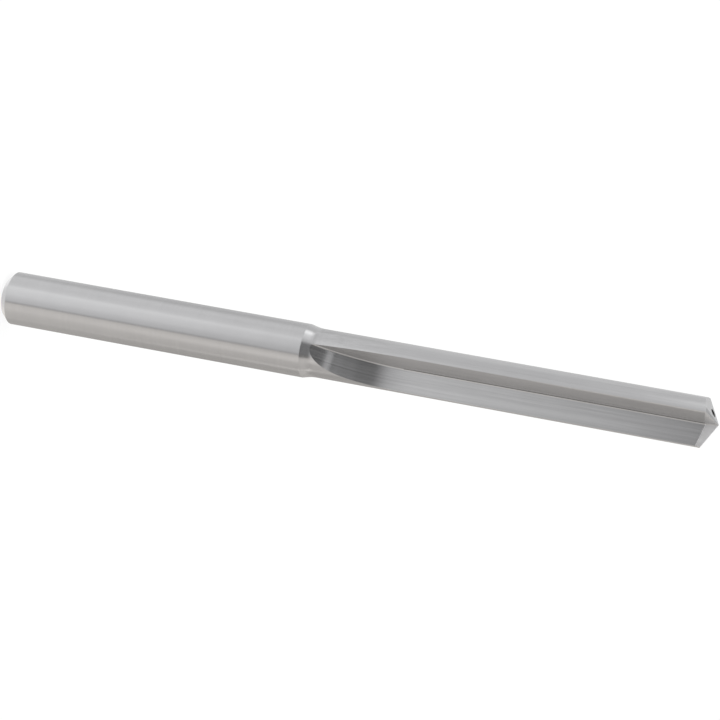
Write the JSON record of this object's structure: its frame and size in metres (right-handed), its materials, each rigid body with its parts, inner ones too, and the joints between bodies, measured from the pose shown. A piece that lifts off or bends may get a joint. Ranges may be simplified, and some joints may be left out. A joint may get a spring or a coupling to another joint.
{
  "type": "straight-flute carbide drill bit",
  "caption": "Solid carbide drill: plain chamfered round shank, short neck cone, straight V-shaped flutes that run out towards the shank, faceted thinned point and through coolant ducts.",
  "frame": {"origin": "centre of the flat end face of the shank, on which the drill stands", "axes": "+Z along the tool axis from the shank end to the point; the cutting lip of the first flute points along -Y, and that flute opens between -Y and +X"},
  "size_m": [0.006, 0.006, 0.082],
  "materials": {
    "carbide": "ground bare carbide: fine lines round the shank, fine lines along the flutes"
  },
  "bodies": {
    "root": {"drill_body": "carbide"}
  },
  "joints": []
}
